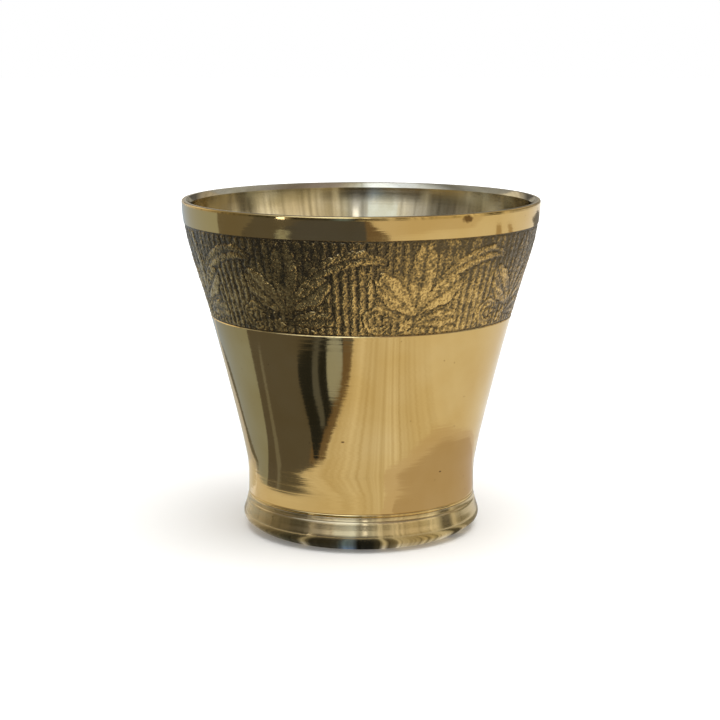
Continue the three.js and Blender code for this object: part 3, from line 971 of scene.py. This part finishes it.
# These lie on the floor: a collar under the tumbler, in many tones, and large ones farther off.
COLLAR_RADIUS = 47.0
FOOT_TONES = [
    (-180, "#A9A69C"), (-142, "#FFFCF2"), (-125, "#DCD6C8"), (-108, "#C8C2B2"), (-96, "#9C9684"),
    (-80, "#7C786A"), (-66, "#565850"), (-53, "#54544C"), (-49, "#B8B6AA"), (-46, "#B8B6AA"),
    (-42, "#3E3E39"), (-26, "#44443F"), (-19, "#4C5154"), (-12, "#7C9CC8"), (-7, "#7088B0"),
    (-3, "#26292C"), (8, "#242628"), (15, "#5A584E"), (18, "#F6F2E2"), (22, "#7A7464"), (27, "#8C8672"),
    (31, "#FAF4E0"), (40, "#D8CEB2"), (52, "#DCD0AE"), (64, "#D4CAAA"), (72, "#FFF8E4"),
    (80, "#E8E2CE"), (86, "#6A6454"), (95, "#5E5A4C"), (102, "#FFF6DE"), (110, "#A29A84"),
    (180, "#A9A69C"),
]
COLLAR_QUICKENED = 1.5
floor_card("collar", oval((0, 0), COLLAR_RADIUS, COLLAR_RADIUS, 0),
           compass_glow("collar tones", FOOT_TONES, quickened=COLLAR_QUICKENED))
floor_card("back_sheet", [(-40, 26), (24, -2), (40, 60), (58, 260), (62, 900), (-40, 900)], CARDS["back"])
floor_card("cool_sheet", [
    (-36, 30), (-36, 60), (-30, 260), (-30, 900), (-900, 900), (-900, -4), (-90, -4), (-90, 30)],
    CARDS["far cool"])
floor_card("back_dim_sheet", [
    (22, 4), (29, 0), (40, 60), (58, 260), (70, 900), (30, 900), (30, 60)], CARDS["dim"])
floor_card("right_tile", [(200, 2), (350, 4), (350, 30), (200, 26)], CARDS["warm streak"])
floor_card("right_far_tile", [(200, 62), (340, 68), (340, 96), (200, 86)], CARDS["warm streak"])
floor_card("right_end_sheet", [(150, 330), (310, 330), (310, 560), (150, 560)], CARDS["mid"])
floor_card("cream_sheet", [(-95, 10), (-36, 30), (-34, 80), (-95, 80)], CARDS["cream"])
floor_card("mid_sheet", [(-110, 0), (-295, 42), (-900, 160), (-900, -400), (-100, -30)], CARDS["mid"])
floor_card("dark_sheet", smooth_loop([
    (-95, -14), (-80, -60), (-50, -95), (-15, -112), (0, -135), (14, -215), (24, -560), (-100, -900),
    (-500, -900), (-900, -400), (-500, -200), (-256, -62), (-135, -16)]), CARDS["dark"])
floor_card("far_dark_sheet", smooth_loop([
    (-30, -135), (4, -165), (14, -215), (20, -560), (-100, -900), (-500, -900), (-260, -300), (-184, -140),
    (-130, -100), (-80, -118)]), CARDS["far dark"])
floor_card("brown_fringe", smooth_loop([
    (6, -186), (40, -192), (64, -200), (64, -218), (52, -300), (46, -470), (40, -731), (18, -731),
    (18, -470), (12, -215)]), CARDS["brown"])
floor_card("far_warm_sheet", [
    (64, -196), (200, -196), (300, -100), (900, -100), (900, -900), (48, -900), (54, -300)],
    CARDS["far warm"])
floor_card("pale_tile", [(-190, -142), (-222, -196), (-166, -190), (-150, -140)], CARDS["far cool"])
floor_card("tile_heart", [(-186, -160), (-198, -178), (-176, -178), (-168, -160)], CARDS["mid"])

# These lie on blocks, close by, so that the neck of the tumbler mirrors the warm card below them.
BLOCKS = 8.0
floor_card("near_pale_sheet", [
    (-38, 3), (-38, 14), (-34, 22), (-28, 24), (-29, 32), (-33, 60), (-36, 150), (-150, 150), (-100, 60)],
    CARDS["pale"], BLOCKS)
floor_card("near_cool_sheet", [
    (-38.5, 4), (-35, -12), (-50, -14), (-100, -10), (-160, -4), (-160, 130), (-84, 130), (-72, 66),
    (-60, 42), (-50, 24), (-43, 11)], CARDS["cool"], BLOCKS)
floor_card("dark_streak", smooth_loop([
    (-39, 1), (-46, 11), (-53, 24), (-62, 38), (-72, 54), (-82, 80), (-84, 120), (-72, 84), (-63, 54),
    (-54, 36), (-46, 22), (-41, 10)]), CARDS["streak"], BLOCKS)
floor_card("near_dark_sheet", [
    (-35.5, -9), (-33.5, -15), (-31, -20), (-28.2, -25), (-25.6, -30), (-23.4, -34), (-21.4, -38),
    (-19.2, -42), (-18.5, -47), (-17, -52), (-15.5, -57), (-13.5, -62), (-11, -66), (-9.5, -70),
    (-8.5, -75), (-7.5, -80), (-4, -98), (1, -130), (3, -150), (-80, -160), (-160, -100), (-160, -14),
    (-100, -3), (-70, -8), (-50, -10)], CARDS["dark"], BLOCKS)
floor_card("outer_dark_sheet", [
    (-7.5, -84), (-4, -98), (1, -130), (3, -150), (-80, -160), (-160, -100), (-160, -14), (-110, -18),
    (-96, -48), (-60, -84)], CARDS["outer dark"], BLOCKS)
floor_card("slate_band", [(-33, -16.5), (-35, -19.5), (-86, -20.5), (-84, -17)], CARDS["slate"], BLOCKS)
floor_card("brown_ring", smooth_loop([
    (-20.6, -38), (-27, -36), (-25, -62), (-21, -80), (-9, -81), (-8.5, -75), (-9.5, -70), (-11, -66),
    (-13.5, -62), (-15.5, -57), (-17, -52), (-18.5, -47), (-19, -42)]), CARDS["brown"], BLOCKS)
floor_card("black_ring", smooth_loop([
    (-23.5, -37), (-33, -43.5), (-44, -48.5), (-51, -51.5), (-54.5, -57), (-52, -63.5), (-46, -70),
    (-40, -76), (-28, -82), (-17, -82), (-17.5, -70), (-20.5, -58), (-23, -47)]), CARDS["black"], BLOCKS)
floor_card("grey_ring", smooth_loop([
    (-25, -48), (-30, -51.5), (-37, -55.5), (-41, -61), (-42.5, -67), (-40, -75), (-30, -82), (-20, -80),
    (-20, -65), (-23, -55)]), CARDS["grey"], BLOCKS)
floor_card("inner_black_ring", smooth_loop([
    (-23.5, -51), (-27, -54.5), (-32.5, -59), (-36.5, -64), (-37.5, -70), (-35, -77), (-26, -82),
    (-18, -78), (-18.5, -66), (-21, -57)]), CARDS["black"], BLOCKS)
floor_card("pale_oval", smooth_loop([
    (-22, -59.5), (-26, -62), (-29.5, -68), (-30.5, -75), (-26, -81), (-18, -79.5), (-16, -72),
    (-17.5, -64)]), CARDS["blue"], BLOCKS)
floor_card("half_shade", smooth_loop([
    (5, -26.5), (8, -33), (12, -39), (22, -38.5), (33, -35.5), (43, -30.5), (50, -22), (53.5, -10),
    (54, 2), (53, 14), (49, 21), (42, 23), (34, 20), (29, 10), (27, 0), (25.5, -8), (20.5, -17),
    (14, -23)]), CARDS["half shade"], BLOCKS)
floor_card("shade_sheet", smooth_loop([
    (8, -26), (11.5, -32), (15.5, -35), (22, -34.5), (31, -31.5), (40, -25.5), (46, -18), (49, -8),
    (50.5, 2), (50, 12), (45, 17), (38, 18), (32, 15), (28.5, 8), (27, 0), (25.5, -8), (20.5, -17),
    (14, -22.5)]), CARDS["shade"], BLOCKS)

# A low wall stands a metre off, with a skirting before its foot in the collar's tones. A high wall hangs
# above them, with a lamp's glow in it, which the bevel of the lip, the inside and the foot mirror.
WALL_SIDES = 96
SKIRTING_RADIUS, SKIRTING_HEIGHT = 0.9, 0.22
ROOM_RADIUS, ROOM_HEIGHT, ROOM_STRENGTH = 1.0, 0.6, 1.75
ROOM_COLOURS = [
    (-180, "#4A4846"), (-158, "#5A5856"), (-146, "#E2DDD4"), (-127, "#F0EADC"), (-114, "#D6D0C4"),
    (-102, "#948D82"), (-92, "#7A7670"), (-81, "#8A847A"), (-70, "#6C6864"), (-58, "#6E6D6B"),
    (-46, "#BABCC2"), (-36, "#D8DADE"), (-27, "#F2F6FC"), (-19, "#F4F8FC"), (-10, "#F8FCFF"),
    (-4, "#C2C8D2"), (4, "#B8BCC4"), (11, "#CCCECC"), (17, "#EAE8E4"), (23, "#C6BFB0"),
    (31, "#E6E0D4"), (48, "#E4DAC6"), (61, "#E0D7C4"), (70, "#FFFAEE"), (78, "#F0EADE"),
    (85, "#A8A49C"), (96, "#A49C90"), (108, "#9E9486"), (119, "#BAB2A6"), (146, "#B0A89C"),
    (158, "#5A5856"), (180, "#4A4846"),
]
HIGH_WALL_RADIUS, HIGH_WALL_BOTTOM, HIGH_WALL_TOP = 0.85, 0.55, 2.8
HIGH_WALL_STRENGTH = 4.4
HIGH_WALL_TONES = [
    (-180, "#4C4A48"), (-110, "#6C7078"), (-90, "#4A4C50"), (-60, "#A2AEC8"), (-40, "#A8B4D0"),
    (-25, "#C8D8F8"), (-12, "#C4D4F6"), (0, "#949EAE"), (12, "#90949E"), (26, "#6C686E"),
    (70, "#545054"), (120, "#747880"), (180, "#4C4A48"),
]


def wall_round_stage(name, radius, bottom, top, material):
    """A ring of wall round the stage, with its faces towards the tumbler."""
    points = [
        (radius * math.cos(a), radius * math.sin(a), z)
        for a in np.linspace(0, math.tau, WALL_SIDES, endpoint=False) for z in (bottom, top)
    ]
    count = 2 * WALL_SIDES
    faces = [(2 * i, 2 * i + 1, (2 * i + 3) % count, (2 * i + 2) % count) for i in range(WALL_SIDES)]
    show_in_reflections_only(stage_sheet(name, points, material, faces))


wall_round_stage("room_wall", ROOM_RADIUS, 0, ROOM_HEIGHT,
                 compass_glow("room wall", ROOM_COLOURS, ROOM_STRENGTH))
wall_round_stage("skirting", SKIRTING_RADIUS, 0, SKIRTING_HEIGHT, compass_glow("foot tones", FOOT_TONES))
wall_round_stage("high_wall", HIGH_WALL_RADIUS, HIGH_WALL_BOTTOM, HIGH_WALL_TOP,
                 compass_glow("high wall", HIGH_WALL_TONES, HIGH_WALL_STRENGTH))


# Three bright cards hang before the walls: two for the streaks inside the mouth and on the foot, and a
# small low one that makes the frieze sparkle.
def standing_card(name, bearing, distance, width, bottom, top, material):
    """Hangs a card upright round the tumbler at a bearing in degrees, from the front to the right."""
    a = math.radians(bearing)
    middle = Vector((distance * math.sin(a), -distance * math.cos(a), 0))
    left = middle - width / 2 * Vector((math.cos(a), math.sin(a), 0))
    right = 2 * middle - left
    low, high = Vector((0, 0, bottom)), Vector((0, 0, top))
    card = stage_sheet(name, [left + low, left + high, right + high, right + low], material)
    show_in_reflections_only(card)


standing_card("bright_sheet", -16, 0.88, 0.34, 0.26, 0.5, new_glow("bright card", "#D8E8FF", 2.0)[0])
standing_card("white_streak", 4, 0.94, 0.07, 0.36, 0.6, new_glow("white card", "#EEF2FF", 3.0)[0])
standing_card("spark", -50, 0.86, 0.08, 0, 0.035, new_glow("spark card", "#F4F8FF", 6.0)[0])


# The backdrop is white to the camera, a soft white light to the floor, and dimmer in the brass.
WORLD_LIGHT = 0.62
MIRRORED_SKY = 0.4

world = bpy.data.worlds.new("studio")
bpy.context.scene.world = world
world.use_nodes = True
sky = world.node_tree
path = add_node(sky, "ShaderNodeLightPath")
seen = add_node(sky, "ShaderNodeMath", {
    0: path.outputs["Is Camera Ray"], 1: path.outputs["Is Transmission Ray"]}, operation="MAXIMUM")
mirrored = add_node(sky, "ShaderNodeMapRange", {
    "Value": path.outputs["Is Glossy Ray"], "To Min": WORLD_LIGHT, "To Max": MIRRORED_SKY})
strength = add_node(sky, "ShaderNodeMapRange", {"Value": seen, "To Min": mirrored, "To Max": 1.0})
feed(sky, sky.nodes["Background"], {"Color": linear("#FFFFFF"), "Strength": strength})


def stand(thing, place, aim):
    """Puts a lamp or a camera in its place, looking at its aim."""
    thing.location = place
    thing.rotation_euler = (aim - place).to_track_quat("-Z", "Y").to_euler()


# One broad lamp hangs over the tumbler. The brass doesn't mirror it.
LAMP_PLACE = Vector((0.1, -0.1, 0.9))
LAMP_WIDTH, LAMP_WATTS = 0.9, 9
lamp = new_object("overhead", bpy.data.lights.new("overhead", "AREA"))
lamp.data.size = LAMP_WIDTH
lamp.data.energy = LAMP_WATTS
lamp.visible_glossy = False
stand(lamp, LAMP_PLACE, Vector((0, 0, 0)))

# The camera stands where the photograph was taken from: 42 cm away, and 4 cm above the lip.
CAMERA_DISTANCE, CAMERA_HEIGHT = 420.3, 117.1
CAMERA_AIM_HEIGHT, CAMERA_SIDE = 38.53, -0.25
CAMERA_LENS, CAMERA_SENSOR = 92.61, 36.0
camera = new_object("camera", bpy.data.cameras.new("camera"))
camera.data.lens = CAMERA_LENS
camera.data.sensor_width = CAMERA_SENSOR
camera.data.clip_start = 0.01
stand(camera, Vector((CAMERA_SIDE, -CAMERA_DISTANCE, CAMERA_HEIGHT)) * MM,
      Vector((CAMERA_SIDE, 0, CAMERA_AIM_HEIGHT)) * MM)
bpy.context.scene.camera = camera
bpy.context.scene.view_settings.view_transform = "Standard"
